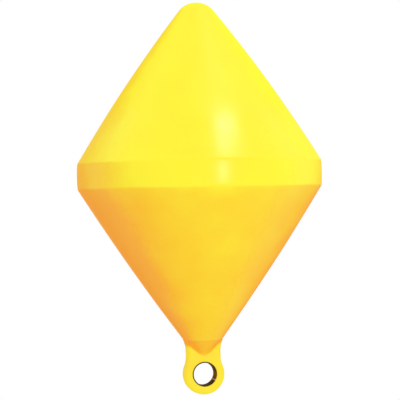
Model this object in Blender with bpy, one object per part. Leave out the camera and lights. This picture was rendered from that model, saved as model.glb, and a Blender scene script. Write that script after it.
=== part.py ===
"""Biconical marker buoy: a foam-filled yellow float of two cones and a belt, with a moulded
nose and mooring lug at its foot, a steel tube through the eye, and a plug where the foam went in.

Metres, +Z up. The origin is on the buoy's axis at the waterline, which is the belt's lower edge.
The lug is a plate in the XZ plane, so the eye runs along Y.
"""

import math

import bmesh
import bpy
from mathutils import Vector

# Sizes of the float, from the top down
DOME_RADIUS = 0.0365
UPPER_HEIGHT = 0.2617
UPPER_SIDE_RADIUS = 2.30
BELT_DIAMETER = 0.400
BELT_HEIGHT = 0.042
BELT_CROWN = 0.0008
BELT_EDGE_RADIUS = 0.008
LOWER_HEIGHT = 0.2480
LOWER_SIDE_RADIUS = 3.50

# Sizes of the eye, and of the lug and nose that grow out from it
TUBE_DIAMETER = 0.040
TUBE_WALL = 0.0015
TUBE_PROUD = 0.0005
TUBE_LIP = 0.0005
EYE_WALL = 0.0134
EYE_BELOW_NOSE_EDGE = 0.0567
LUG_THICKNESS = 0.024
LUG_EDGE_RADIUS = 0.005
NECK_INSET = 0.0057
NECK_FILLET = 0.042
NECK_FLARE = 0.040
NOSE_SHOULDER = 0.0043
NOSE_ANGLE = math.radians(41)

# Sizes of the foam filling plug, on the back of the belt
PLUG_DIAMETER = 0.030
PLUG_FLANGE = 0.0025
PLUG_STEM_DIAMETER = 0.022
PLUG_STEM_LENGTH = 0.012
PLUG_PROUD = 0.0008
PLUG_EDGE = 0.0006

# Fits and facets
SEAT_GAP = 0.0003
ROUND_FACETS = 96
SMALL_FACETS = 48
ARC_STEP = math.radians(7.5)
SIDE_STEPS = 8
CROWN_STEPS = 4
ROUNDING_STEPS = 3
TINY = 1e-6
SHARP_ANGLE = math.radians(30)

# Places that follow from the sizes
BELT_RADIUS = BELT_DIAMETER / 2
WATERLINE_Z = 0.0
BELT_TOP_Z = WATERLINE_Z + BELT_HEIGHT
PLUG_Z = WATERLINE_Z + BELT_HEIGHT / 2
PLUG_FACE = BELT_RADIUS + BELT_CROWN + PLUG_PROUD
DOME_CENTRE = Vector((0, BELT_TOP_Z + UPPER_HEIGHT - DOME_RADIUS))
BORE_RADIUS = TUBE_DIAMETER / 2 + SEAT_GAP
RING_RADIUS = BORE_RADIUS + EYE_WALL
NECK_HALF_WIDTH = RING_RADIUS - NECK_INSET
NOSE_EDGE_RADIUS = NECK_HALF_WIDTH + NOSE_SHOULDER
NOSE_EDGE_Z = WATERLINE_Z - LOWER_HEIGHT
NOSE_TIP_RADIUS = LUG_THICKNESS / 2
EYE_Z = NOSE_EDGE_Z - EYE_BELOW_NOSE_EDGE

YELLOW = (0.97, 0.76, 0.045, 1.0)
STEEL = (0.21, 0.17, 0.13, 1.0)


def material(name, colour, roughness, metallic=0.0):
    """A Principled material with one colour."""
    made = bpy.data.materials.new(name)
    made.use_nodes = True
    shader = made.node_tree.nodes["Principled BSDF"]
    shader.inputs["Base Color"].default_value = colour
    shader.inputs["Roughness"].default_value = roughness
    shader.inputs["Metallic"].default_value = metallic
    return made


def arc(centre, radius, start, end, steps=None):
    """Points of an arc in a plane, from angle start to angle end in radians, both ends included."""
    steps = steps or max(2, math.ceil(abs(end - start) / ARC_STEP))
    angles = [start + (end - start) * i / steps for i in range(steps + 1)]
    return [(centre[0] + radius * math.cos(a), centre[1] + radius * math.sin(a)) for a in angles]


def bearing(centre, point):
    """The angle at which a point is seen from a centre."""
    return math.atan2(point[1] - centre[1], point[0] - centre[0])


def side_centre(upper, upper_reach, lower, lower_reach):
    """Centre of a side's large arc: the place on the axis side of the line from lower to upper
    that is upper_reach from the upper point and lower_reach from the lower one."""
    line = upper - lower
    along = (lower_reach**2 - upper_reach**2 + line.length_squared) / (2 * line.length)
    away = math.sqrt(lower_reach**2 - along**2)
    direction = line.normalized()
    return lower + direction * along - Vector((direction.y, -direction.x)) * away


def upper_side():
    """The upper cone's side: centre, and the angles of its foot and of its touch with the dome."""
    foot = Vector((BELT_RADIUS, BELT_TOP_Z))
    centre = side_centre(DOME_CENTRE, UPPER_SIDE_RADIUS - DOME_RADIUS, foot, UPPER_SIDE_RADIUS)
    return centre, bearing(centre, foot), bearing(centre, DOME_CENTRE)


def lower_side():
    """The lower cone's side: centre, and the angles of its top and of the nose's edge."""
    head = Vector((BELT_RADIUS, WATERLINE_Z))
    foot = Vector((NOSE_EDGE_RADIUS, NOSE_EDGE_Z))
    centre = side_centre(head, LOWER_SIDE_RADIUS, foot, LOWER_SIDE_RADIUS)
    return centre, bearing(centre, head), bearing(centre, foot)


def angle_at_height(centre, radius, z):
    """The angle at which an arc right of its centre passes a height."""
    return math.asin((z - centre[1]) / radius)


def object_from(bm, name, finish):
    """Turns a bmesh into a named object, shaded smooth up to the sharp angle."""
    bmesh.ops.remove_doubles(bm, verts=bm.verts, dist=TINY)
    bmesh.ops.recalc_face_normals(bm, faces=bm.faces)
    mesh = bpy.data.meshes.new(name)
    bm.to_mesh(mesh)
    bm.free()
    mesh.shade_smooth()
    mesh.set_sharp_from_angle(angle=SHARP_ANGLE)
    made = bpy.data.objects.new(name, mesh)
    bpy.context.scene.collection.objects.link(made)
    if finish:
        made.data.materials.append(finish)
    return made


def revolve(name, profile, finish, axis=(0, 0, 1), facets=ROUND_FACETS):
    """Turns a profile of (radius, height) points about an axis through the origin. A profile
    that ends on the axis closes itself, and any other is closed by a last edge."""
    axis = Vector(axis)
    across = Vector((1, 0, 0))
    bm = bmesh.new()
    points = [bm.verts.new(across * radius + axis * height) for radius, height in profile]
    edges = [bm.edges.new(pair) for pair in zip(points, points[1:])]
    if min(profile[0][0], profile[-1][0]) > 0:
        edges.append(bm.edges.new((points[-1], points[0])))
    bmesh.ops.spin(
        bm, geom=points + edges, axis=axis, cent=(0, 0, 0), angle=math.tau, steps=facets,
        use_merge=True, use_duplicate=False,
    )
    return object_from(bm, name, finish)


def helper(made):
    """Marks an object as a tool of a Boolean: it shapes the part and isn't one itself."""
    made.hide_render = True
    made.display_type = "WIRE"
    return made


def boolean(target, operation, tool):
    """Adds an exact Boolean of the target with the tool."""
    step = target.modifiers.new(f"{operation} {tool.name}", "BOOLEAN")
    step.operation = operation
    step.object = tool
    step.solver = "EXACT"


def belt_edge(corner_z, side, cone_angle, lean):
    """Arc that rounds one edge of the belt, from the cone's side to the belt's band. Side is 1
    at the top and -1 at the bottom; cone_angle and lean are the two slopes there."""
    back = BELT_EDGE_RADIUS * math.tan((cone_angle - lean) / 2)
    start = Vector(
        (BELT_RADIUS - back * math.sin(cone_angle), corner_z + side * back * math.cos(cone_angle))
    )
    inward = Vector((-math.cos(cone_angle), -side * math.sin(cone_angle)))
    centre = start + inward * BELT_EDGE_RADIUS
    return arc(centre, BELT_EDGE_RADIUS, side * cone_angle, side * lean)


def belt_outline():
    """The belt's outer line, bottom to top: a crowned band whose edges round into both cones."""
    half = BELT_HEIGHT / 2
    lean = 2 * math.atan(BELT_CROWN / half)
    lower_edge = belt_edge(WATERLINE_Z, -1, -lower_side()[1], lean)
    upper_edge = belt_edge(BELT_TOP_Z, 1, upper_side()[1], lean)
    crown = []
    for i in range(1, CROWN_STEPS):
        z = lower_edge[-1][1] + (upper_edge[-1][1] - lower_edge[-1][1]) * i / CROWN_STEPS
        crown.append((BELT_RADIUS + BELT_CROWN * (1 - ((z - PLUG_Z) / half) ** 2), z))
    return lower_edge + crown + upper_edge[::-1]


def upper_cone(finish):
    """The upper cone: a side that swells a little, and the rounded top that it runs into."""
    centre, _, touch = upper_side()
    foot_z = belt_outline()[-1][1] + SEAT_GAP
    foot = angle_at_height(centre, UPPER_SIDE_RADIUS, foot_z)
    side = arc(centre, UPPER_SIDE_RADIUS, foot, touch, SIDE_STEPS)
    dome = arc(DOME_CENTRE, DOME_RADIUS, touch, math.pi / 2)
    dome[-1] = (0, DOME_CENTRE.y + DOME_RADIUS)
    return revolve("upper_cone", [(0, foot_z)] + side + dome[1:], finish)


def belt(finish):
    """The belt between the cones, with a stepped pocket at the back for the filling plug."""
    outline = belt_outline()
    made = revolve("belt", [(0, outline[0][1])] + outline + [(0, outline[-1][1])], finish)
    floor = PLUG_FACE - PLUG_FLANGE - PLUG_STEM_LENGTH - SEAT_GAP
    ledge = PLUG_FACE - PLUG_FLANGE - SEAT_GAP
    mouth = PLUG_FACE + PLUG_STEM_LENGTH
    stem, flange = PLUG_STEM_DIAMETER / 2 + SEAT_GAP, PLUG_DIAMETER / 2 + SEAT_GAP
    pocket = [(0, floor), (stem, floor), (stem, ledge), (flange, ledge), (flange, mouth), (0, mouth)]
    cutter = revolve("plug_pocket", pocket, None, axis=(0, 1, 0), facets=SMALL_FACETS)
    cutter.location.z = PLUG_Z
    boolean(made, "DIFFERENCE", helper(cutter))
    return made


def lower_cone(finish):
    """The lower cone, its side swelling a little, from the belt down to the edge of the nose."""
    centre, _, foot = lower_side()
    head_z = belt_outline()[0][1] - SEAT_GAP
    head = angle_at_height(centre, LOWER_SIDE_RADIUS, head_z)
    side = arc(centre, LOWER_SIDE_RADIUS, foot, head, SIDE_STEPS)
    return revolve("lower_cone", [(0, NOSE_EDGE_Z)] + side + [(0, head_z)], finish)


def nose_profile():
    """The nose's line: a cone blunter than the one above it. Its tip is rounded to half the
    lug's thickness, so the tip lies within the lug."""
    top_z = NOSE_EDGE_Z - SEAT_GAP
    top_radius = NOSE_EDGE_RADIUS - SEAT_GAP * math.tan(NOSE_ANGLE)
    point_z = NOSE_EDGE_Z - NOSE_EDGE_RADIUS / math.tan(NOSE_ANGLE)
    tip_z = point_z + NOSE_TIP_RADIUS / math.sin(NOSE_ANGLE)
    tip = arc((0, tip_z), NOSE_TIP_RADIUS, -math.pi / 2, -NOSE_ANGLE)
    tip[0] = (0, tip_z - NOSE_TIP_RADIUS)
    return tip + [(top_radius, top_z), (0, top_z)]


def lug_half_outline():
    """Right half of the lug, bottom to top: the eye's ring, the fillet into the waisted neck,
    and the flare that widens the neck again to the edge of the nose."""
    fillet_x = NECK_HALF_WIDTH + NECK_FILLET
    fillet_rise = math.sqrt((RING_RADIUS + NECK_FILLET) ** 2 - fillet_x**2)
    meet = math.atan2(fillet_rise, fillet_x)
    ring = arc((0, EYE_Z), RING_RADIUS, -math.pi / 2, meet)
    fillet = arc((fillet_x, EYE_Z + fillet_rise), NECK_FILLET, math.pi + meet, math.pi)
    turn = math.acos(1 - NOSE_SHOULDER / NECK_FLARE)
    top_z = NOSE_EDGE_Z - 2 * SEAT_GAP
    flare_centre = (NECK_HALF_WIDTH + NECK_FLARE, top_z - NECK_FLARE * math.sin(turn))
    flare = arc(flare_centre, NECK_FLARE, math.pi, math.pi - turn)
    return ring + fillet[1:] + flare


def lug_blank():
    """The solid lug before it joins the nose: its outline pulled to its thickness, edges rounded."""
    right = lug_half_outline()
    left = [(-x, z) for x, z in right[:0:-1]]
    bm = bmesh.new()
    corners = [bm.verts.new((x, -LUG_THICKNESS / 2, z)) for x, z in right + left]
    face = bm.faces.new(corners)
    pulled = bmesh.ops.extrude_face_region(bm, geom=[face])
    moved = [v for v in pulled["geom"] if isinstance(v, bmesh.types.BMVert)]
    bmesh.ops.translate(bm, verts=moved, vec=(0, LUG_THICKNESS, 0))
    top_z = max(v.co.z for v in bm.verts)
    rims = [
        e for e in bm.edges
        if abs(e.verts[0].co.y - e.verts[1].co.y) < TINY
        and min(v.co.z for v in e.verts) < top_z - TINY
    ]
    bmesh.ops.bevel(
        bm, geom=rims, offset=LUG_EDGE_RADIUS, segments=ROUNDING_STEPS, profile=0.5, affect="EDGES",
        clamp_overlap=True,
    )
    return helper(object_from(bm, "lug_blank", None))


def nose_and_lug(finish):
    """The moulded foot of the buoy: the nose, the lug that grows out of it, and the eye's bore."""
    made = revolve("nose_and_lug", nose_profile(), finish)
    boolean(made, "UNION", lug_blank())
    profile = [
        (0, -LUG_THICKNESS), (BORE_RADIUS, -LUG_THICKNESS),
        (BORE_RADIUS, LUG_THICKNESS), (0, LUG_THICKNESS),
    ]
    cutter = revolve("eye_bore", profile, None, axis=(0, 1, 0), facets=SMALL_FACETS)
    cutter.location.z = EYE_Z
    boolean(made, "DIFFERENCE", helper(cutter))
    return made


def eye_tube(finish):
    """The steel tube that lines the eye, a little proud of both faces, its mouths eased."""
    outer = TUBE_DIAMETER / 2
    inner = outer - TUBE_WALL
    half = LUG_THICKNESS / 2 + TUBE_PROUD
    profile = [
        (outer, -half), (outer, half),
        (inner + TUBE_LIP, half), (inner, half - TUBE_LIP),
        (inner, -half + TUBE_LIP), (inner + TUBE_LIP, -half),
    ]
    made = revolve("eye_tube", profile, finish, axis=(0, 1, 0), facets=SMALL_FACETS)
    made.location.z = EYE_Z
    return made


def filler_plug(finish):
    """The plug welded into the filling hole: a flange with an eased edge on a short stem."""
    flange, stem = PLUG_DIAMETER / 2, PLUG_STEM_DIAMETER / 2
    ledge = PLUG_FACE - PLUG_FLANGE
    profile = [
        (0, ledge - PLUG_STEM_LENGTH), (stem, ledge - PLUG_STEM_LENGTH),
        (stem, ledge), (flange, ledge),
        (flange, PLUG_FACE - PLUG_EDGE), (flange - PLUG_EDGE, PLUG_FACE),
        (0, PLUG_FACE),
    ]
    made = revolve("filler_plug", profile, finish, axis=(0, 1, 0), facets=SMALL_FACETS)
    made.location.z = PLUG_Z
    return made


def main():
    for old in list(bpy.data.objects):
        bpy.data.objects.remove(old)
    skin = material("moulded yellow polyethylene", YELLOW, 0.42)
    tube = material("dark steel tube", STEEL, 0.4, metallic=1.0)
    upper_cone(skin)
    belt(skin)
    lower_cone(skin)
    nose_and_lug(skin)
    eye_tube(tube)
    filler_plug(skin)


main()
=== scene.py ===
# %% [markdown]
# # A biconical marker buoy
#
# The real object is one hollow moulding of yellow polyethylene, filled with foam. Two cones meet at
# a belt, and the lower cone ends in a blunt nose from which a flat lug grows. A short steel tube
# lines the eye of the lug, where the mooring shackle goes, and a welded plug at the back closes the
# hole that the foam went in by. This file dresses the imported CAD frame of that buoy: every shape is
# worked out as an array of points, and every finish is made of nodes.

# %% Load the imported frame
import math

import bmesh
import bpy
import numpy as np
from mathutils import Matrix, Vector


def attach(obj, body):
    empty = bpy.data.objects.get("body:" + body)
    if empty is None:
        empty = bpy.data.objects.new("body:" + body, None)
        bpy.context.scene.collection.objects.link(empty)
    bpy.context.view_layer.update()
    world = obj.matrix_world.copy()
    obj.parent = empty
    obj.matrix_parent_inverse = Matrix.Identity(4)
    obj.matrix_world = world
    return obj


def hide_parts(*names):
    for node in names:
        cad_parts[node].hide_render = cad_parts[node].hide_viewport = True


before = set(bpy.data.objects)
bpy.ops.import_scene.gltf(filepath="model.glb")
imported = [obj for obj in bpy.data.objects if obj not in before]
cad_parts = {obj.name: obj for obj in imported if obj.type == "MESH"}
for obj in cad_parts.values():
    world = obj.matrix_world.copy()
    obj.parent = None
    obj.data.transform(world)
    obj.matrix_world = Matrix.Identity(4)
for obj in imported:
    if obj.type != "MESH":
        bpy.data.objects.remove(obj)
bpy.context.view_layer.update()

print("CAD nodes:", sorted(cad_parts))

# %% [markdown]
# ## The camera
#
# The buoy was photographed from about 3 m away, level with the waterline and 11 degrees to the
# left of the lug's flat side, with a long lens and a slight tilt of the picture. A camera could be
# aimed with a constraint, but its tilt would then need a second step. Here the three directions of
# the camera are worked out and written into its matrix, so that nothing moves it later.

# %% Place the camera
AZIMUTH = math.radians(-11)
ELEVATION = math.radians(-0.25)
ROLL = math.radians(-1.184)
DISTANCE = 3.0
TARGET = np.array([0.0001, 0.0, -0.0202])
LENS = 164.75
SENSOR = 36.0

camera_back = np.array([
    math.sin(AZIMUTH) * math.cos(ELEVATION),
    -math.cos(AZIMUTH) * math.cos(ELEVATION),
    math.sin(ELEVATION),
])
camera_right = np.array([math.cos(AZIMUTH), math.sin(AZIMUTH), 0.0])
camera_up = np.cross(camera_back, camera_right)
rolled_right = camera_right * math.cos(ROLL) + camera_up * math.sin(ROLL)
rolled_up = camera_up * math.cos(ROLL) - camera_right * math.sin(ROLL)

camera = bpy.data.objects.new("camera", bpy.data.cameras.new("camera"))
bpy.context.scene.collection.objects.link(camera)
camera.data.lens = LENS
camera.data.sensor_width = SENSOR
camera.matrix_world = Matrix((
    (*rolled_right, 0), (*rolled_up, 0), (*camera_back, 0), (0, 0, 0, 1),
)).transposed()
camera.location = TARGET + camera_back * DISTANCE
bpy.context.scene.camera = camera
print("Camera at", [round(x, 3) for x in camera.location])

# %% [markdown]
# ## The outline of the float
#
# A rotational mould gives a shape that is the same all round, so one half of its outline, turned
# about the axis, is the whole float. The outline is a chain of arcs, but for the straight sides of
# the nose. The cones aren't quite straight: they swell by 3 to 5 mm, so each side is part of a very
# large circle. The belt is slightly crowned and its edges are rounded. The sizes are those of the
# CAD source.

# %% Sizes of the float, in metres
DOME_RADIUS = 0.0365
UPPER_HEIGHT = 0.2617
UPPER_SIDE_RADIUS = 2.30
BELT_RADIUS = 0.200
BELT_HEIGHT = 0.042
BELT_CROWN = 0.0008
BELT_EDGE_RADIUS = 0.008
LOWER_HEIGHT = 0.2480
LOWER_SIDE_RADIUS = 3.50
NOSE_EDGE_RADIUS = 0.0323
NOSE_SLOPE = math.radians(41)
NOSE_TIP_RADIUS = 0.012
NOSE_EDGE_ROUNDING = 0.003
DOME_CENTRE = np.array([0.0, BELT_HEIGHT + UPPER_HEIGHT - DOME_RADIUS])
NOSE_POINT_Z = -LOWER_HEIGHT - NOSE_EDGE_RADIUS / math.tan(NOSE_SLOPE)
print("Top of the dome at", round(float(DOME_CENTRE[1]) + DOME_RADIUS, 4))


# %% Arcs, and the large circles of the sides
def arc(centre, radius, start, end, steps):
    """Points of an arc: the centre plus the radius times (cosine, sine) of angles from start to
    end, evenly spaced."""
    angle = np.linspace(start, end, steps + 1)
    return np.asarray(centre) + radius * np.column_stack((np.cos(angle), np.sin(angle)))


def bearing(centre, point):
    """The angle at which a point is seen from a centre."""
    return math.atan2(point[1] - centre[1], point[0] - centre[0])


def side_centre(upper, upper_reach, lower, lower_reach):
    """Where two circles about the upper and the lower point cross, on the axis side. The distance
    along the line between the points follows from the cosine rule, and the rest from Pythagoras."""
    line = upper - lower
    length = np.hypot(*line)
    along = (lower_reach**2 - upper_reach**2 + length**2) / (2 * length)
    away = math.sqrt(lower_reach**2 - along**2)
    return lower + line / length * along - np.array([line[1], -line[0]]) / length * away


belt_top = np.array([BELT_RADIUS, BELT_HEIGHT])
belt_foot = np.array([BELT_RADIUS, 0.0])
nose_edge = np.array([NOSE_EDGE_RADIUS, -LOWER_HEIGHT])
upper_centre = side_centre(
    DOME_CENTRE, UPPER_SIDE_RADIUS - DOME_RADIUS, belt_top, UPPER_SIDE_RADIUS
)
lower_centre = side_centre(belt_foot, LOWER_SIDE_RADIUS, nose_edge, LOWER_SIDE_RADIUS)
upper_slope = bearing(upper_centre, belt_top)
lower_slope = -bearing(lower_centre, belt_foot)
print("Cone sides lean", [round(math.degrees(x), 2) for x in (upper_slope, lower_slope)], "degrees")


# %% The whole outline, from the top of the dome to the bottom of the nose
def belt_edge(corner, side, slope, lean):
    """Centre of the arc that rounds an edge of the belt, and its two angles. It touches the cone
    and the band, so it starts the radius times the tangent of half the bend from the corner."""
    back = BELT_EDGE_RADIUS * math.tan((slope - lean) / 2)
    start = corner + back * np.array([-math.sin(slope), side * math.cos(slope)])
    inward = np.array([-math.cos(slope), -side * math.sin(slope)])
    return start + inward * BELT_EDGE_RADIUS, side * slope, side * lean


def soften(before, after, radius, steps):
    """Joins two lines that meet at a point with a small arc. It starts the radius times the
    tangent of half the bend before the corner, and ends as far behind it."""
    corner = before[-1]
    into = (before[-1] - before[-2]) / np.hypot(*(before[-1] - before[-2]))
    out = (after[1] - after[0]) / np.hypot(*(after[1] - after[0]))
    bend = math.acos(float(np.clip(into @ out, -1, 1)))
    back = radius * math.tan(bend / 2)
    share = np.linspace(0, 1, steps + 1)[:, None]
    rounded = ((1 - share) ** 2) * (corner - into * back) + (share**2) * (corner + out * back)
    return rounded + 2 * share * (1 - share) * corner


def float_outline():
    """The outline as (radius, height) points: dome, upper side, belt edge, crown, belt edge,
    lower side, crease, the nose's straight side and its small round tip, each touching the next
    one."""
    half = BELT_HEIGHT / 2
    lean = 2 * math.atan(BELT_CROWN / half)
    touch = bearing(upper_centre, DOME_CENTRE)
    top_edge, top_start, top_end = belt_edge(belt_top, 1, upper_slope, lean)
    low_edge, low_start, low_end = belt_edge(belt_foot, -1, lower_slope, lean)
    dome = arc(DOME_CENTRE, DOME_RADIUS, math.pi / 2, touch, steps=26)
    top_arc = arc(top_edge, BELT_EDGE_RADIUS, top_start, top_end, steps=10)
    low_arc = arc(low_edge, BELT_EDGE_RADIUS, low_end, low_start, steps=10)
    upper_foot = math.asin((top_arc[0, 1] - upper_centre[1]) / UPPER_SIDE_RADIUS)
    upper = arc(upper_centre, UPPER_SIDE_RADIUS, touch, upper_foot, steps=44)
    crown_z = np.linspace(top_arc[-1, 1], low_arc[0, 1], 11)[1:-1]
    crown_r = BELT_RADIUS + BELT_CROWN * (1 - ((crown_z - half) / half) ** 2)
    lower_head = math.asin((low_arc[-1, 1] - lower_centre[1]) / LOWER_SIDE_RADIUS)
    lower_end = bearing(lower_centre, nose_edge)
    lower = arc(lower_centre, LOWER_SIDE_RADIUS, lower_head, lower_end, steps=44)
    tip_centre = (0, NOSE_POINT_Z + NOSE_TIP_RADIUS / math.sin(NOSE_SLOPE))
    tip = arc(tip_centre, NOSE_TIP_RADIUS, -NOSE_SLOPE, -math.pi / 2, steps=12)
    nose = nose_edge + np.linspace(0, 1, 25)[:, None] * (tip[0] - nose_edge)
    crease = soften(lower, nose, NOSE_EDGE_ROUNDING, steps=6)
    line = np.vstack((
        dome, upper[1:], top_arc[1:], np.column_stack((crown_r, crown_z)), low_arc,
        lower[1:-1], crease, nose[1:], tip[1:],
    ))
    line[0, 0] = line[-1, 0] = 0.0
    return line


outline = float_outline()
print("Outline has", len(outline), "points, widest", round(outline[:, 0].max() * 2000, 1), "mm")

# %% [markdown]
# ## The moulded skin
#
# The mould opens in a front and a back half, because the ring of the lug is wider than its neck.
# The halves leave a faint raised line where they met: over the dome, down both sides and round
# the edge of the lug. It is drawn in the mesh, so the columns of the grid crowd together there.
# A cooling shell also draws in a little, unevenly, which is what makes a highlight on it wander.
# Both are small moves of the surface along its normal. All of the skin is set in by the height of
# the line, so that the line itself is what reaches the size of the CAD model.

# %% Moves of the surface
LINE_HEIGHT = 0.0003
LINE_HALF_WIDTH = 0.0010
SINK_DEPTH = 0.0003
SINK_FADE = 0.08


def parting_line(y):
    """Height of the parting line at a distance y from the plane of the lug: a smooth hump, the
    square of one minus the squared share of its half width."""
    return LINE_HEIGHT * np.clip(1 - (y / LINE_HALF_WIDTH) ** 2, 0, 1) ** 2


def sinking(angle, radius, z):
    """How far the shell has drawn in: three crossed waves, 90 to 250 mm long, whose sum is brought
    between nothing and one, fading out near the axis and below the cone."""
    waves = (
        np.sin(3 * angle + 21 * z + 0.8) + np.sin(5 * angle - 34 * z + 2.1)
        + np.sin(2 * angle + 47 * z + 4.0)
    )
    fade = np.clip((radius - NOSE_EDGE_RADIUS) / SINK_FADE, 0, 1) ** 2
    return SINK_DEPTH * fade * (0.5 + waves / 6)


line_size = (2 * LINE_HALF_WIDTH * 1000, LINE_HEIGHT * 1000)
print("Parting line is", line_size[0], "mm wide and", line_size[1], "mm high")


# %% Grids into meshes
MERGE = 1e-7


def grid_faces(rows, columns, ring):
    """Corners of the quads between each row and the next one. Columns always close up, and rows
    do where the grid is a ring."""
    last = rows if ring else rows - 1
    row, column = np.meshgrid(np.arange(last), np.arange(columns), indexing="ij")
    below, right = (row + 1) % rows, (column + 1) % columns
    corners = (row * columns + column, row * columns + right,
               below * columns + right, below * columns + column)
    return np.stack(corners, axis=-1).reshape(-1, 4)


def link_grid(name, points, ring):
    """A closed piece from a grid of points, its poles merged and its faces turned outwards."""
    faces = grid_faces(points.shape[0], points.shape[1], ring)
    mesh = bpy.data.meshes.new(name)
    mesh.from_pydata(points.reshape(-1, 3).tolist(), [], faces.tolist())
    bm = bmesh.new()
    bm.from_mesh(mesh)
    bmesh.ops.remove_doubles(bm, verts=bm.verts, dist=MERGE)
    bmesh.ops.recalc_face_normals(bm, faces=bm.faces)
    open_edges = sum(not edge.is_manifold for edge in bm.edges)
    bm.to_mesh(mesh)
    bm.free()
    mesh.shade_smooth()
    made = bpy.data.objects.new(name, mesh)
    bpy.context.scene.collection.objects.link(made)
    print(name, "has", len(mesh.polygons), "faces and", open_edges, "open edges")
    return made


# %% [markdown]
# ## Painted light and shade
#
# The plastic's tone is painted light and shade: lemon where a surface faces a light from the
# front, a little to the right and above, and deep yellow where it turns away. The front and the back
# get the most painted light and the flanks the least. A band just below the belt is painted lighter,
# and the underside and the nose are painted darker, as painted shade. The noise textures of a
# material don't know the shape, so this painted light and shade is worked out here from the surface's
# normals and kept with each point of the mesh.

# %% Painted light and shade of each point
# Direction of the light that the painted light and shade come from, the painted light kept on the
# flanks and the far side, and the painted shade of the underside and the nose.
PAINTED_LIGHT_BEARING = math.radians(4)
PAINTED_LIGHT_HEIGHT = math.radians(30)
FLANK_PAINTED_LIGHT = 0.15
FAR_SIDE_SHARE = 0.85
UNDERSIDE_SHADE = 0.045
BELT_FOOT_PAINTED_LIGHT = 0.085
BELT_FOOT_LIGHT_REACH = 0.036
NOSE_SHADE = 0.105


def smooth_step(share):
    """A share from nothing to one, eased at both ends: three times its square less twice its
    cube."""
    return share * share * (3 - 2 * share)


def painted_light_and_shade(normals):
    """Painted light and shade from the normal: its level part counts by its cosine with the light's
    bearing and its upward part by the sine of the light's height. A hypotenuse keeps the flanks above
    nothing, and the far side gets its share of painted light."""
    level = normals[:, 0] * math.sin(PAINTED_LIGHT_BEARING) - normals[:, 1] * math.cos(PAINTED_LIGHT_BEARING)
    level = level * math.cos(PAINTED_LIGHT_HEIGHT)
    soft = np.hypot(level, FLANK_PAINTED_LIGHT)
    gain = (1 + FAR_SIDE_SHARE) / 2 + (1 - FAR_SIDE_SHARE) / 2 * level / soft
    return soft * gain + normals[:, 2] * math.sin(PAINTED_LIGHT_HEIGHT)


def mesh_array(made, collection, item):
    """A piece's places ("vertices", "co") or normals ("vertex_normals", "vector") as rows."""
    values = np.empty(len(made.data.vertices) * 3, np.float32)
    getattr(made.data, collection).foreach_get(item, values)
    return values.reshape(-1, 3)


def store_tone(made, name, tone):
    """Stores one number with each point of a piece, under a name that its material reads."""
    made.data.attributes.new(name, "FLOAT", "POINT").data.foreach_set("value", tone)
    print(made.name, name, "from", round(float(tone.min()), 2), "to", round(float(tone.max()), 2))


def outline_normals():
    """Outward normals of the outline: its direction at each point, turned by a right angle."""
    along = np.gradient(outline, axis=0)
    along /= np.hypot(along[:, 0], along[:, 1])[:, None]
    return np.column_stack((-along[:, 1], along[:, 0]))


def float_painted_light(points):
    """Painted light and shade of the float, from the plain outline's normals. Below the belt it is
    painted a little darker, as shade, but a band just below the belt is painted lighter, by a smooth
    step of the depth, and the nose is painted darker still, as shade."""
    depth = -points[:, 2]
    out, up = (np.interp(depth, -outline[:, 1], part) for part in outline_normals().T)
    angle = np.arctan2(points[:, 1], points[:, 0])
    fade = painted_light_and_shade(np.column_stack((out * np.cos(angle), out * np.sin(angle), up)))
    belt_foot_light = np.where(depth > 0, 1 - smooth_step(np.clip(depth / BELT_FOOT_LIGHT_REACH, 0, 1)), 0)
    return (fade + BELT_FOOT_PAINTED_LIGHT * belt_foot_light - UNDERSIDE_SHADE * (depth > 0)
            - NOSE_SHADE * (depth > LOWER_HEIGHT))


# Painted light and shade on the front, a side, the back and the foot.
sides = np.array([(0.0, -1.0, 0.0), (1.0, 0.0, 0.0), (0.0, 1.0, 0.0), (0.0, 0.0, -1.0)])
print("Sun fades front, side, back and foot by", painted_light_and_shade(sides).round(2).tolist())


# %% The skin of the float
LINE_COLUMNS = 6
SIDE_COLUMNS = 126
WIDEST_STEP = 0.05


def column_angles(radius):
    """Bearings of the grid's columns at each radius. Beside the parting line they keep a fixed
    distance from it, so their bearing is the arcsine of distance over radius, up to an even step
    near the poles; the others are evenly spread between."""
    place = np.arange(LINE_COLUMNS + 1)
    offsets = place * LINE_HALF_WIDTH / (LINE_COLUMNS - 1)
    ratio = np.clip(offsets / np.maximum(radius, MERGE)[:, None], 0, 1)
    near = np.minimum(np.arcsin(ratio), place * WIDEST_STEP)
    share = np.linspace(0, 1, SIDE_COLUMNS + 2)[1:-1]
    middle = near[:, -1:] + (math.pi - 2 * near[:, -1:]) * share
    half = np.hstack((near, middle, math.pi - near[:, :0:-1]))
    return np.hstack((half, half + math.pi))


def float_points():
    """The outline turned about the axis, each point moved along the outline's normal by the
    parting line less the sinking and the inset."""
    normal = outline_normals()
    normal[0], normal[-1] = (0, 1), (0, -1)
    angle = column_angles(outline[:, 0])
    radius, z = outline[:, :1], outline[:, 1:]
    move = parting_line(radius * np.sin(angle)) - LINE_HEIGHT - sinking(angle, radius, z)
    radius, z = radius + normal[:, :1] * move, z + normal[:, 1:] * move
    return np.stack((radius * np.cos(angle), radius * np.sin(angle), z), axis=-1)


float_skin = link_grid("float_skin", float_points(), ring=False)
# The "fade" attribute holds the painted light and shade of each point.
store_tone(float_skin, "fade", float_painted_light(mesh_array(float_skin, "vertices", "co")))
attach(float_skin, "root")
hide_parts("upper_cone", "belt", "lower_cone")

# %% [markdown]
# ## The lug
#
# The lug is the piece that takes the mooring load: a thick flat ring on a waisted neck, which
# flares out as it runs up into the nose. It could be cut from a block with Booleans, but every
# edge of a moulding is rounded, and so is the root where the plate leaves the nose. Here a
# cross-section is carried round the eye: the wall of the bore, the flat face, the rounded edge and
# the rim. Then the root is filled: each point near the nose moves outwards until it lies on the
# surface that a small ball would leave if it were rolled along the corner.

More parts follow.
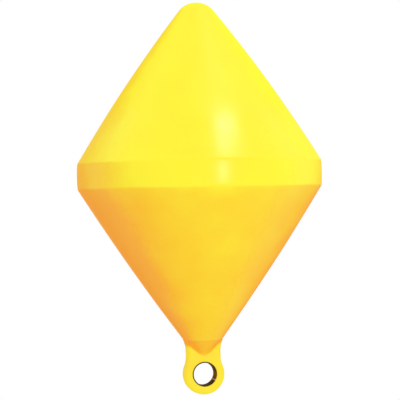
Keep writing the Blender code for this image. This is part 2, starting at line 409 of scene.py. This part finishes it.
# %% Sizes of the lug, in metres
EYE_Z = -0.3047
TUBE_RADIUS = 0.020
RING_RADIUS = 0.0337
LUG_THICKNESS = 0.024
LUG_EDGE_RADIUS = 0.005
MOUTH_RADIUS = 0.0008
NECK_HALF_WIDTH = 0.028
NECK_FILLET = 0.042
NECK_FLARE = 0.040
ROOT_RADIUS = 0.006
NOSE_SHOULDER = NOSE_EDGE_RADIUS - NECK_HALF_WIDTH
FLARE_TOP_Z = -LOWER_HEIGHT - 0.0006
FLARE_CUT_Z = -LOWER_HEIGHT - 0.002


# %% Outline of the lug, evenly spaced
RIM_COLUMNS = 300


def lug_outline(count):
    """Points and outward normals round the lug: ring, fillet into the neck, neck, flare, and a
    half circle that closes it inside the nose. They are evenly spaced by length along the line."""
    fillet_x = NECK_HALF_WIDTH + NECK_FILLET
    fillet_rise = math.sqrt((RING_RADIUS + NECK_FILLET) ** 2 - fillet_x**2)
    meet = math.atan2(fillet_rise, fillet_x)
    fillet_centre = (fillet_x, EYE_Z + fillet_rise)
    ring = arc((0, EYE_Z), RING_RADIUS, -math.pi / 2, meet, steps=400)
    fillet = arc(fillet_centre, NECK_FILLET, math.pi + meet, math.pi, steps=200)
    turn = math.acos(1 - NOSE_SHOULDER / NECK_FLARE)
    flare_z = FLARE_TOP_Z - NECK_FLARE * math.sin(turn)
    reach = math.asin((FLARE_CUT_Z - flare_z) / NECK_FLARE)
    flare_centre = (NECK_HALF_WIDTH + NECK_FLARE, flare_z)
    flare = arc(flare_centre, NECK_FLARE, math.pi, math.pi - reach, steps=100)
    close = arc((0, FLARE_CUT_Z), flare[-1, 0], 0, math.pi / 2, steps=200)
    right = np.vstack((ring, fillet[1:], flare, close[1:]))
    loop = np.vstack((right, right[-2::-1] * (-1, 1)))
    length = np.concatenate(([0], np.cumsum(np.hypot(*np.diff(loop, axis=0).T))))
    even = np.linspace(0, length[-1], count, endpoint=False)
    points = np.column_stack([np.interp(even, length, loop[:, i]) for i in (0, 1)])
    along = np.roll(points, -1, axis=0) - np.roll(points, 1, axis=0)
    along /= np.hypot(along[:, 0], along[:, 1])[:, None]
    return points, np.column_stack((along[:, 1], -along[:, 0]))


rim_points, rim_normals = lug_outline(RIM_COLUMNS)
lug_size = [round(float(np.ptp(rim_points[:, i])) * 1000, 1) for i in (0, 1)]
print("Lug is", lug_size[0], "mm wide and", lug_size[1], "mm tall, with its end in the nose")


# %% The cross-section that goes round the eye
def lug_section():
    """Front half of the section, from the middle of the bore to the middle of the rim. For each
    point: its share of the way from bore to rim, its distance out from the bore's wall, its
    distance in from the rim, and its y."""
    face = LUG_THICKNESS / 2
    quarter = np.linspace(0, math.pi / 2, 7)[1:]
    bore_y = np.linspace(0, face - MOUTH_RADIUS, 5)
    mouth = MOUTH_RADIUS * (1 - np.cos(quarter))
    mouth_y = face - MOUTH_RADIUS * (1 - np.sin(quarter))
    across = np.linspace(0, 1, 27)[1:-1]
    bend = np.linspace(math.pi / 2, 0, 11)
    edge = LUG_EDGE_RADIUS * (1 - np.cos(bend))
    edge_y = face - LUG_EDGE_RADIUS * (1 - np.sin(bend))
    beside_line = 1.2 * LINE_HALF_WIDTH
    rim_y = np.append(
        np.linspace(face - LUG_EDGE_RADIUS, beside_line, 6)[1:],
        np.linspace(LINE_HALF_WIDTH, 0, 6),
    )
    at_bore, at_rim = len(bore_y) + len(mouth), len(edge) + len(rim_y)
    past_mouth = np.full(len(across) + at_rim, MOUTH_RADIUS)
    before_edge = np.full(at_bore + len(across), LUG_EDGE_RADIUS)
    share = np.concatenate((np.zeros(at_bore), across, np.ones(at_rim)))
    out = np.concatenate((np.zeros(len(bore_y)), mouth, past_mouth))
    inset = np.concatenate((before_edge, edge, -parting_line(rim_y)))
    y = np.concatenate((bore_y, mouth_y, np.full(len(across), face), edge_y, rim_y))
    return share, out, inset, y


def lug_points():
    """The section carried round the eye: a point is the mix, by its share, of a point of the bore
    and a point of the rim, each moved out or in along its own normal."""
    share, out, inset, y = lug_section()
    share, out, inset = (np.concatenate((a, a[-2:0:-1])) for a in (share, out, inset))
    y = np.concatenate((-y, y[-2:0:-1]))
    eye = np.array([0.0, EYE_Z])
    spoke = rim_points - eye
    spoke /= np.hypot(spoke[:, 0], spoke[:, 1])[:, None]
    inner = eye + spoke[:, None] * (TUBE_RADIUS + out)[None, :, None]
    outer = rim_points[:, None] - rim_normals[:, None] * (LINE_HEIGHT + inset)[None, :, None]
    flat = inner * (1 - share)[None, :, None] + outer * share[None, :, None]
    depth = np.broadcast_to(y, flat.shape[:2])
    return np.stack((flat[..., 0], depth, flat[..., 1]), axis=-1)


print("Half the section has", len(lug_section()[0]), "points")


# %% Fill the root of the lug
LONGEST_MOVE = 2.2 * ROOT_RADIUS
HALVINGS = 40
SUNK_BEND = 40
LEAST_COSINE, MOST_COSINE = -0.9, 0.999


def beyond_nose(radius, z):
    """Distance out from the nose's cone: how much further from the axis a point lies than the cone
    does at its height, times the cosine of the cone's slope."""
    cone = (z - NOSE_POINT_Z) * math.tan(NOSE_SLOPE)
    return (radius - cone) * math.cos(NOSE_SLOPE)


def ring_normals(points):
    """Outward normals of a ring-shaped grid: the cross product of the steps along its columns and
    along its rows, both taken over the neighbours on either side."""
    around = np.roll(points, -1, axis=0) - np.roll(points, 1, axis=0)
    across = np.roll(points, -1, axis=1) - np.roll(points, 1, axis=1)
    normal = np.cross(across, around)
    return normal / np.linalg.norm(normal, axis=-1, keepdims=True)


def filled_root(points):
    """Moves each point out along its normal to the filled corner. With c the cosine between the
    two surfaces' normals, and p and q what the rolling ball's radius exceeds the distances to the
    nose and to the lug by, the fill is where p squared plus q squared less 2cpq is the radius
    squared times one less c squared. Past its end the surface sinks slowly into the nose. The
    move is found by halving the stretch that it lies in."""
    normal = ring_normals(points)

    def beyond(move):
        """Above zero where a point moved that far lies outside the filled shape."""
        place = points + normal * move[..., None]
        radius = np.hypot(place[..., 0], place[..., 1])
        from_nose = beyond_nose(radius, place[..., 2]) + LINE_HEIGHT
        across = (normal[..., 0] * place[..., 0] + normal[..., 1] * place[..., 1]) / radius
        c = across * math.cos(NOSE_SLOPE) - normal[..., 2] * math.sin(NOSE_SLOPE)
        c = np.clip(c, LEAST_COSINE, MOST_COSINE)
        end = ROOT_RADIUS * (1 - c)
        p, q = ROOT_RADIUS - from_nose, ROOT_RADIUS - move
        fill = ROOT_RADIUS * np.sqrt(1 - c**2) - np.sqrt(p**2 + q**2 - 2 * c * p * q)
        sunk = from_nose + SUNK_BEND * np.clip(move - end, 0, None) ** 2
        return np.where(move >= end, sunk, np.where(from_nose >= end, move + MERGE, fill))

    low = np.zeros(points.shape[:2])
    high = np.full(points.shape[:2], LONGEST_MOVE)
    for _ in range(HALVINGS):
        middle = (low + high) / 2
        outside = beyond(middle) > 0
        low, high = np.where(outside, low, middle), np.where(outside, middle, high)
    return points + normal * low[..., None]


plain_lug = lug_points()
lug_grid = filled_root(plain_lug)
moved = np.linalg.norm(lug_grid - plain_lug, axis=-1) > MERGE
print("Filling the root moves", int(moved.sum()), "of", moved.size, "points")


# %% Paint light and shade on the lug, and finish it
# Painted light and shade of the lug: its even level, painted shade where it faces away, the painted
# shadow of the nose on the corner, and painted shade toward the edges and down the narrow sides.
LUG_PAINTED_LIGHT = 0.53
LUG_AWAY_SHADE = 0.12
NOSE_SHADOW_REACH = 0.0018
NOSE_SHADOW_SLANT = 0.050
NOSE_SHADOW_START = 0.3
EDGE_SHADE_REACH = 0.0024
EDGE_FROM = 0.023
EDGE_WIDTH = 0.006
SIDE_TOP_Z = -LOWER_HEIGHT - 0.001
SIDE_LENGTH = 0.014


def lug_painted_light(made):
    """Painted light and shade of the lug: even, and painted a little darker where it faces away from
    the light. By a smooth step of the distance to the nose's cone it turns into the nose's painted
    shade. It does so further out on the left, as the painted shadow that the nose casts on the
    corner, and toward the edges, as painted shade. On the narrow sides, by the fourth power of their
    normal's x, the height counts instead."""
    points = mesh_array(made, "vertices", "co")
    normals = mesh_array(made, "vertex_normals", "vector")
    radius = np.hypot(points[:, 0], points[:, 1])
    out, down = math.cos(NOSE_SLOPE) / radius, np.full(len(points), -math.sin(NOSE_SLOPE))
    nose = painted_light_and_shade(np.column_stack((points[:, 0] * out, points[:, 1] * out, down)))
    nose -= NOSE_SHADE + UNDERSIDE_SHADE
    lug = LUG_PAINTED_LIGHT + LUG_AWAY_SHADE * np.minimum(painted_light_and_shade(normals), 0)
    reach = NOSE_SHADOW_REACH - NOSE_SHADOW_SLANT * points[:, 0]
    reach += EDGE_SHADE_REACH * np.clip((np.abs(points[:, 0]) - EDGE_FROM) / EDGE_WIDTH, 0, 1)
    share = np.clip(beyond_nose(radius, points[:, 2]) / reach - NOSE_SHADOW_START, 0, 1)
    side = np.clip((SIDE_TOP_Z - points[:, 2]) / SIDE_LENGTH, 0, 1)
    share += (side - share) * normals[:, 0] ** 4
    return nose + (lug - nose) * smooth_step(share)


lug_skin = link_grid("lug_skin", lug_grid, ring=True)
store_tone(lug_skin, "fade", lug_painted_light(lug_skin))
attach(lug_skin, "root")
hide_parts("nose_and_lug")

# %% [markdown]
# ## The tube in the eye
#
# A ring of plastic would wear through under a steel shackle, so a short length of welded steel
# tube is moulded in. Both ends are a little proud of the plastic and eased with a file, and the
# weld of the tube runs along the inside as a low bead. It is a profile turned about the eye.

# %% The steel tube
TUBE_WALL = 0.0015
TUBE_PROUD = 0.0005
TUBE_LIP = 0.0005
BEAD_HEIGHT = 0.00035
BEAD_HALF_WIDTH = 0.0011
BEAD_BEARING = math.radians(-30)
# Where the band of painted light on the bore's wall lies, and how wide it is.
LIGHT_BAND_BEARING = math.radians(-6)
LIGHT_BAND_HALF_WIDTH = math.radians(19)
TUBE_COLUMNS = 216


def turn_from(start, angle):
    """The turn from one bearing to another, between minus and plus half a turn."""
    return (angle - start + math.pi) % math.tau - math.pi


def weld_bell(angle):
    """A bell curve of the distance round the bore from the middle of the weld."""
    off_weld = turn_from(BEAD_BEARING, angle) * (TUBE_RADIUS - TUBE_WALL)
    return np.exp(-2 * (off_weld / BEAD_HALF_WIDTH) ** 2)


def tube_points():
    """The wall's outline, a box with rounded ends, turned about the eye; the bead stands on the
    inner wall alone."""
    inner, half = TUBE_RADIUS - TUBE_WALL, LUG_THICKNESS / 2 + TUBE_PROUD
    lip = arc((inner + TUBE_LIP, -half + TUBE_LIP), TUBE_LIP, -math.pi, -math.pi / 2, steps=5)
    edge_radius = TUBE_LIP / 2
    edge_centre = (TUBE_RADIUS - edge_radius, -half + edge_radius)
    edge = arc(edge_centre, edge_radius, -math.pi / 2, 0, steps=4)
    inside_y = np.linspace(half - TUBE_LIP, -half + TUBE_LIP, 9)
    inside = np.column_stack((np.full_like(inside_y, inner), inside_y))
    half_line = np.vstack((lip, edge))
    line = np.vstack((half_line, half_line[::-1] * (1, -1), inside[1:-1]))
    angle = np.linspace(0, math.tau, TUBE_COLUMNS, endpoint=False)
    wall = np.clip(1 - (line[:, :1] - inner) / TUBE_LIP, 0, 1)
    radius = line[:, :1] - wall * BEAD_HEIGHT * weld_bell(angle)
    return np.stack((
        radius * np.cos(angle), np.broadcast_to(line[:, 1:], radius.shape),
        EYE_Z + radius * np.sin(angle),
    ), axis=-1)


def light_band_and_glint(made):
    """Two bell curves of the bearing round the eye: a band of painted light on the bore's wall, and a
    painted glint on the crest of the weld."""
    points = mesh_array(made, "vertices", "co")
    angle = np.arctan2(points[:, 2] - EYE_Z, points[:, 0])
    off_light_band = turn_from(LIGHT_BAND_BEARING, angle)
    return np.exp(-((off_light_band / LIGHT_BAND_HALF_WIDTH) ** 2)), weld_bell(angle)


eye_lining = link_grid("eye_lining", tube_points(), ring=True)
bore_light_band, weld_glint = light_band_and_glint(eye_lining)
store_tone(eye_lining, "bore_light_band", bore_light_band)
store_tone(eye_lining, "weld_glint", weld_glint)
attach(eye_lining, "root")
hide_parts("eye_tube")

# %% [markdown]
# ## The filling plug
#
# Foam is poured in through a hole in the belt, at the back. The hole is closed with a disc of the
# same plastic, spun while it is pressed in until it melts and welds itself fast. That leaves a
# rolled bead of plastic round the disc, and the disc keeps the groove and the dimple that the
# spinning tool held it by. It is again one outline, turned about the plug's own axis.

# %% The plug and its weld bead
PLUG_RADIUS = 0.015
PLUG_PROUD = 0.0008
PLUG_FACE_Y = BELT_RADIUS + BELT_CROWN + PLUG_PROUD
PLUG_Z = BELT_HEIGHT / 2
PLUG_DEPTH = 0.006
PLUG_TAPER = 0.001
WELD_RADIUS = 0.0011
WELD_OUT = 0.0003
WELD_PROUD = 0.0002
WELD_START, WELD_END = 2.9, -1.2
WELD_WIDTH_WAVE = 0.12
WELD_HEIGHT_WAVE = 0.10
PLUG_COLUMNS = 144


def plug_points():
    """The plug's outline turned about its axis. It steps in from a flat face: dimple, face,
    groove, face, rounded edge and weld bead. The bead swells and thins by a tenth in slow waves."""
    face = PLUG_FACE_Y - WELD_PROUD
    outline_of_face = np.array([
        (0.0, 0.0011), (0.0016, 0.0010), (0.0026, 0.0005), (0.0033, 0.0001), (0.0042, 0.0),
        (0.0074, 0.0), (0.0081, 0.0002), (0.0086, 0.0007), (0.0094, 0.0007), (0.0099, 0.0002),
        (0.0106, 0.0), (0.0132, 0.0), (0.0138, 0.0002), (0.0141, 0.0008), (0.0142, 0.0013),
    ])
    line = np.column_stack((outline_of_face[:, 0], face - outline_of_face[:, 1]))
    bead_centre = (PLUG_RADIUS + WELD_OUT, PLUG_FACE_Y - WELD_RADIUS)
    bead = arc(bead_centre, WELD_RADIUS, WELD_START, WELD_END, steps=16)
    foot = np.array([(PLUG_RADIUS - PLUG_TAPER, face - PLUG_DEPTH), (0.0, face - PLUG_DEPTH)])
    line = np.vstack((line, bead, foot))
    angle = np.linspace(0, math.tau, PLUG_COLUMNS, endpoint=False)
    on_bead = np.clip(1 - np.abs(line[:, :1] - PLUG_RADIUS) / (2 * WELD_RADIUS), 0, 1)
    wave = np.sin(7 * angle) * 0.5 + np.sin(17 * angle + 1.0) * 0.3 + np.sin(4 * angle + 2) * 0.2
    radius = line[:, :1] + on_bead * WELD_RADIUS * WELD_WIDTH_WAVE * wave
    y = line[:, 1:] - on_bead * WELD_RADIUS * WELD_HEIGHT_WAVE * (1 + wave)
    return np.stack((radius * np.cos(angle), y, PLUG_Z + radius * np.sin(angle)), axis=-1)


plug_cap = link_grid("plug_cap", plug_points(), ring=False)
# The plug gets painted light and shade from its normals too.
store_tone(plug_cap, "fade", painted_light_and_shade(mesh_array(plug_cap, "vertex_normals", "vector")))
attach(plug_cap, "root")
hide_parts("filler_plug")

# %% [markdown]
# ## The yellow plastic
#
# The skin is rotationally moulded polyethylene, coloured all the way through. The plastic isn't
# pressed against the mould, so it comes out satin, with a very fine orange peel, and the pigment is
# a little uneven. A colour ramp turns the stored painted light and shade into yellows, lemon for
# painted light and deep yellow for painted shade. The rest is done by the roughness: the top, which
# is never wet, has chalked and is dull, scuffs from handling are duller than the skin around them,
# and a weathered skin has no gloss at a glancing angle.

# %% Colours and nodes
def linear(hex_colour):
    """Turns an sRGB hex colour into linear red, green, blue and alpha: the low end divided by
    12.92, and the rest by the power 2.4 of the standard."""
    srgb = np.array([int(hex_colour[i:i + 2], 16) for i in (1, 3, 5)]) / 255
    low, high = srgb / 12.92, ((srgb + 0.055) / 1.055) ** 2.4
    return (*np.where(srgb <= 0.04045, low, high).tolist(), 1.0)


def add_node(tree, kind, inputs=None, **settings):
    """Adds a node. Settings are its own properties; inputs are keyed by socket name or number and
    hold a value to set or a socket to link."""
    made = tree.nodes.new(kind)
    for name, value in settings.items():
        setattr(made, name, value)
    for key, value in (inputs or {}).items():
        if isinstance(value, bpy.types.NodeSocket):
            tree.links.new(value, made.inputs[key])
        else:
            made.inputs[key].default_value = value
    return made


def new_material(name):
    """An empty node material, its tree and its output node."""
    made = bpy.data.materials.new(name)
    made.use_nodes = True
    made.node_tree.nodes.clear()
    return made, made.node_tree, made.node_tree.nodes.new("ShaderNodeOutputMaterial")


print("Half grey, linear:", round(linear("#808080")[0], 3))


# %% Rotationally moulded polyethylene
# Yellows by the stored painted light and shade: deep yellow for painted shade, lemon for painted
# light. The shift and the scale bring these values between 0 and 1, the ends of a colour ramp.
LIT_AND_SHADED_YELLOWS = {
    -0.15: "#FDA514", 0.05: "#FDAE15", 0.25: "#FDC91A", 0.45: "#FDDA20", 0.62: "#FDEF27",
    0.78: "#FDEF27", 1.00: "#FDE626",
}
RAMP_SHIFT = 0.2
RAMP_SCALE = 0.8
MOTTLE = 0.06
# Most values of a noise texture lie between these two.
NOISE_LOW, NOISE_HIGH = 0.3, 0.7
# One over the size of each pattern in metres. The real peel is about 1 mm from crest to crest,
# which is finer than a pixel of the picture, so it is drawn coarser to show.
PEEL_SCALE = 1 / 0.0028
MOTTLE_SCALE = 1 / 0.060
SCUFF_SCALE = 1 / 0.012
SCUFF_FROM, SCUFF_FULL = 0.35, 0.75
SATIN = (0.21, 0.29)
CHALK_FROM = 0.095
CHALK_FULL = 0.150
CHALK_DULLS = 0.24
GLANCE_FROM = 0.30
GLANCE_FULL = 0.75
GLANCE_DULLS = 0.50


def moulded_polyethylene():
    """The plastic: from deep yellow to lemon by the stored painted light and shade, mottled by slow
    noise, with fine orange peel as bump. Its roughness is the satin one with scuffs, plus what the
    chalk adds by a smooth step of the height, plus what a glancing angle adds. The IOR is that of
    polyethylene, and the specular level is under a clean plastic's 0.5, as the skin is worn."""
    made, tree, output = new_material("rotomoulded_polyethylene")
    place = add_node(tree, "ShaderNodeTexCoord").outputs["Object"]
    # Reads the stored painted light and shade.
    fade = add_node(tree, "ShaderNodeAttribute", attribute_name="fade").outputs["Fac"]
    mottle = add_node(tree, "ShaderNodeTexNoise", {
        "Vector": place, "Scale": MOTTLE_SCALE, "Detail": 4.0, "Roughness": 0.55,
    }).outputs["Fac"]
    uneven = add_node(tree, "ShaderNodeMapRange", {
        "Value": mottle, "From Min": NOISE_LOW, "From Max": NOISE_HIGH,
        "To Min": RAMP_SHIFT - MOTTLE, "To Max": RAMP_SHIFT + MOTTLE,
    }).outputs["Result"]
    tone = add_node(tree, "ShaderNodeMath", {0: fade, 1: uneven}, operation="ADD").outputs[0]
    tone = add_node(tree, "ShaderNodeMath", {0: tone, 1: RAMP_SCALE},
                    operation="MULTIPLY").outputs[0]
    ramp = add_node(tree, "ShaderNodeValToRGB", {"Fac": tone})
    for number, (fading, colour) in enumerate(LIT_AND_SHADED_YELLOWS.items()):
        if number > 1:
            ramp.color_ramp.elements.new(1.0)
        ramp.color_ramp.elements[number].position = (fading + RAMP_SHIFT) * RAMP_SCALE
        ramp.color_ramp.elements[number].color = linear(colour)
    peel = add_node(tree, "ShaderNodeTexNoise", {
        "Vector": place, "Scale": PEEL_SCALE, "Detail": 2.0, "Roughness": 0.5,
    }).outputs["Fac"]
    bump = add_node(tree, "ShaderNodeBump", {
        "Strength": 0.35, "Distance": 0.00025, "Height": peel,
    }).outputs["Normal"]
    scuff = add_node(tree, "ShaderNodeTexNoise", {
        "Vector": place, "Scale": SCUFF_SCALE, "Detail": 6.0, "Roughness": 0.7,
    }).outputs["Fac"]
    satin = add_node(tree, "ShaderNodeMapRange", {
        "Value": scuff, "From Min": SCUFF_FROM, "From Max": SCUFF_FULL,
        "To Min": SATIN[0], "To Max": SATIN[1],
    }).outputs["Result"]
    height = add_node(tree, "ShaderNodeSeparateXYZ", {0: place}).outputs["Z"]
    chalk = add_node(tree, "ShaderNodeMapRange", {
        "Value": height, "From Min": CHALK_FROM, "From Max": CHALK_FULL, "To Max": CHALK_DULLS,
    }, interpolation_type="SMOOTHSTEP").outputs["Result"]
    glancing = add_node(tree, "ShaderNodeLayerWeight", {"Blend": 0.5}).outputs["Facing"]
    dull = add_node(tree, "ShaderNodeMapRange", {
        "Value": glancing, "From Min": GLANCE_FROM, "From Max": GLANCE_FULL,
        "To Max": GLANCE_DULLS,
    }, interpolation_type="SMOOTHSTEP").outputs["Result"]
    gloss = add_node(tree, "ShaderNodeMath", {0: satin, 1: chalk}, operation="ADD").outputs[0]
    gloss = add_node(tree, "ShaderNodeMath", {0: gloss, 1: dull}, operation="ADD",
                     use_clamp=True).outputs[0]
    shader = add_node(tree, "ShaderNodeBsdfPrincipled", {
        "Base Color": ramp.outputs["Color"], "Roughness": gloss, "IOR": 1.51,
        "Specular IOR Level": 0.32, "Normal": bump,
    })
    tree.links.new(shader.outputs[0], output.inputs["Surface"])
    return made


plastic = moulded_polyethylene()
for piece in (float_skin, lug_skin, plug_cap):
    piece.data.materials.append(plastic)
print("Green of the yellows, linear:", [round(linear(c)[1], 3) for c in LIT_AND_SHADED_YELLOWS.values()])

# %% [markdown]
# ## The dark steel
#
# The tube still has its dark mill scale on, with patches of rust. A band of lighter brown at the
# right of the bore is painted light, and the crest of the weld is painted pale as a painted glint.
# Oxide doesn't turn white at a glancing angle as clean steel does, so the tint of its edge is brown
# too. Drawing it left fine lines along it, which stretch its highlights across.

# %% Drawn steel with mill scale
SCALE_BROWN = "#3B321B"
# Rust, and the lighter brown of the band of painted light in the bore.
RUST_AND_LIT_BROWN = "#7C5226"
# The pale colour of the painted glint on the weld.
WELD_GLINT_PALE = "#C9B79A"
OXIDE_EDGE = "#C6A57C"
RUST_AND_LIGHT_FROM, RUST_AND_LIGHT_FULL = 0.55, 1.3
SCALE_ROUGHNESS = (0.34, 0.55)
# One over the size of each pattern in metres. Real drawing lines are a tenth of a millimetre apart,
# so they are drawn coarser to show.
PATCH_SCALE = 1 / 0.006
GRAIN_SCALE = 1 / 0.0006
GRAIN_SQUEEZE = 1 / 30


def scaled_steel():
    """Steel: dark scale mixed with a lighter brown by noise, as rust, and by the stored band of
    painted light, and with the pale painted glint on the weld. It is rougher in patches, with lines
    drawn along the tube by squeezing the noise to a thirtieth of its length in y."""
    made, tree, output = new_material("drawn_steel_with_mill_scale")
    place = add_node(tree, "ShaderNodeTexCoord").outputs["Object"]
    patches = add_node(tree, "ShaderNodeTexNoise", {
        "Vector": place, "Scale": PATCH_SCALE, "Detail": 5.0, "Roughness": 0.6,
    }).outputs["Fac"]
    bore_light_band = add_node(tree, "ShaderNodeAttribute", attribute_name="bore_light_band").outputs["Fac"]
    weld_glint = add_node(tree, "ShaderNodeAttribute", attribute_name="weld_glint").outputs["Fac"]
    rust_and_light = add_node(tree, "ShaderNodeMath", {0: patches, 1: bore_light_band}, operation="ADD").outputs[0]
    rust_and_light = add_node(tree, "ShaderNodeMapRange", {
        "Value": rust_and_light, "From Min": RUST_AND_LIGHT_FROM, "From Max": RUST_AND_LIGHT_FULL,
    }).outputs["Result"]
    brown = add_node(tree, "ShaderNodeMix", {
        "Factor": rust_and_light, "A": linear(SCALE_BROWN), "B": linear(RUST_AND_LIT_BROWN),
    }, data_type="RGBA").outputs["Result"]
    colour = add_node(tree, "ShaderNodeMix", {
        "Factor": weld_glint, "A": brown, "B": linear(WELD_GLINT_PALE),
    }, data_type="RGBA").outputs["Result"]
    squeezed = add_node(tree, "ShaderNodeMapping", {
        "Vector": place, "Scale": (1.0, GRAIN_SQUEEZE, 1.0),
    }).outputs[0]
    lines = add_node(tree, "ShaderNodeTexNoise", {
        "Vector": squeezed, "Scale": GRAIN_SCALE, "Detail": 2.0,
    }).outputs["Fac"]
    bump = add_node(tree, "ShaderNodeBump", {
        "Strength": 0.4, "Distance": 0.0001, "Height": lines,
    }).outputs["Normal"]
    gloss = add_node(tree, "ShaderNodeMapRange", {
        "Value": patches, "From Min": NOISE_LOW, "From Max": NOISE_HIGH,
        "To Min": SCALE_ROUGHNESS[0], "To Max": SCALE_ROUGHNESS[1],
    }).outputs["Result"]
    shader = add_node(tree, "ShaderNodeBsdfPrincipled", {
        "Base Color": colour, "Metallic": 1.0, "Roughness": gloss,
        "Specular Tint": linear(OXIDE_EDGE), "Normal": bump,
    })
    tree.links.new(shader.outputs[0], output.inputs["Surface"])
    return made


eye_lining.data.materials.append(scaled_steel())
print("Lining is made of", eye_lining.data.materials[0].name)

# %% [markdown]
# ## The studio
#
# The photograph shows the whole buoy in the air against plain white, so the floor lies well below
# it and stays out of the picture. White all round gives the even light. A wide, low soft lamp above
# and to the right draws the tall highlight on the upper cone, and a second one in front, level with
# the belt, carries it on over the belt.

# %% The floor
FLOOR_Z = -0.62
FLOOR_RADIUS = 2.1
FLOOR_FADES_FROM = 0.9
FLOOR_CORNERS = 64


def pale_floor():
    """A disc of matt white that fades out to the white of the room toward its edge, and that isn't
    there when seen from below."""
    made, tree, output = new_material("matt_white_floor")
    place = add_node(tree, "ShaderNodeTexCoord").outputs["Object"]
    distance = add_node(tree, "ShaderNodeVectorMath", {0: place},
                        operation="LENGTH").outputs["Value"]
    fade = add_node(tree, "ShaderNodeMapRange", {
        "Value": distance, "From Min": FLOOR_FADES_FROM, "From Max": FLOOR_RADIUS,
    }, interpolation_type="SMOOTHSTEP").outputs["Result"]
    below = add_node(tree, "ShaderNodeNewGeometry").outputs["Backfacing"]
    seen = add_node(tree, "ShaderNodeLightPath").outputs["Is Camera Ray"]
    gone = add_node(tree, "ShaderNodeMath", {0: below, 1: fade}, operation="MAXIMUM").outputs[0]
    gone = add_node(tree, "ShaderNodeMath", {0: gone, 1: seen}, operation="MULTIPLY").outputs[0]
    matt = add_node(tree, "ShaderNodeBsdfDiffuse", {"Color": linear("#F2F1EE")}).outputs[0]
    clear = add_node(tree, "ShaderNodeBsdfTransparent").outputs[0]
    mixed = add_node(tree, "ShaderNodeMixShader", {0: gone, 1: matt, 2: clear}).outputs[0]
    tree.links.new(mixed, output.inputs["Surface"])
    return made


last_corner = math.tau * (FLOOR_CORNERS - 1) / FLOOR_CORNERS
ring = arc((0, 0), FLOOR_RADIUS, 0, last_corner, FLOOR_CORNERS - 1)
floor_mesh = bpy.data.meshes.new("floor")
floor_mesh.from_pydata([(x, y, FLOOR_Z) for x, y in ring], [], [list(range(FLOOR_CORNERS))])
floor_mesh.materials.append(pale_floor())
floor = bpy.data.objects.new("floor", floor_mesh)
bpy.context.scene.collection.objects.link(floor)
print("Floor lies", round(EYE_Z - RING_RADIUS - FLOOR_Z, 3), "m below the buoy's foot")

# %% The white room
# The room lights the buoy at this share of white, and shows as full white itself, also in gloss.
ROOM_LIGHT = 0.91

world = bpy.data.worlds.new("white_room")
bpy.context.scene.world = world
world.use_nodes = True
world.node_tree.nodes.clear()
path = add_node(world.node_tree, "ShaderNodeLightPath")
shown = add_node(world.node_tree, "ShaderNodeMath", {
    0: path.outputs["Is Camera Ray"], 1: path.outputs["Is Transmission Ray"],
}, operation="MAXIMUM").outputs[0]
shown = add_node(world.node_tree, "ShaderNodeMath", {
    0: shown, 1: path.outputs["Is Glossy Ray"],
}, operation="MAXIMUM").outputs[0]
strength = add_node(world.node_tree, "ShaderNodeMapRange", {
    "Value": shown, "To Min": ROOM_LIGHT, "To Max": 1.0,
}).outputs["Result"]
white = add_node(world.node_tree, "ShaderNodeBackground", {
    "Color": linear("#FFFFFF"), "Strength": strength,
}).outputs[0]
add_node(world.node_tree, "ShaderNodeOutputWorld", {"Surface": white})
print("Room shines at", ROOM_LIGHT, "and shows as white")


# %% The lamps
def soft_lamp(name, toward, right, up, width, height, power):
    """A rectangular lamp that looks at the buoy. Its place is given in metres toward the camera,
    to its right and up."""
    data = bpy.data.lights.new(name, "AREA")
    data.shape = "RECTANGLE"
    data.size, data.size_y = width, height
    data.energy = power
    flat_back = np.array([math.sin(AZIMUTH), -math.cos(AZIMUTH), 0.0])
    place = flat_back * toward + camera_right * right + np.array([0.0, 0.0, up])
    lamp = bpy.data.objects.new(name, data)
    bpy.context.scene.collection.objects.link(lamp)
    lamp.location = place
    lamp.rotation_euler = Vector(-place).to_track_quat("-Z", "Y").to_euler()
    print(name, "stands", round(float(np.linalg.norm(place)), 2), "m away")


soft_lamp("overhead_softbox", toward=0.73, right=0.78, up=2.04, width=0.74, height=0.19, power=8.2)
soft_lamp("front_strip", toward=2.30, right=0.88, up=0.10, width=0.26, height=0.60, power=6)

# %% [markdown]
# ## The view
#
# Blender's default view would grey the yellow down, so the Standard view is set, in which a colour
# shows about as it is written. Then the box round the finished pieces is written beside that of
# the CAD model, which it has to stay inside.

# %% View settings
bpy.context.scene.view_settings.view_transform = "Standard"
print("View transform is", bpy.context.scene.view_settings.view_transform)
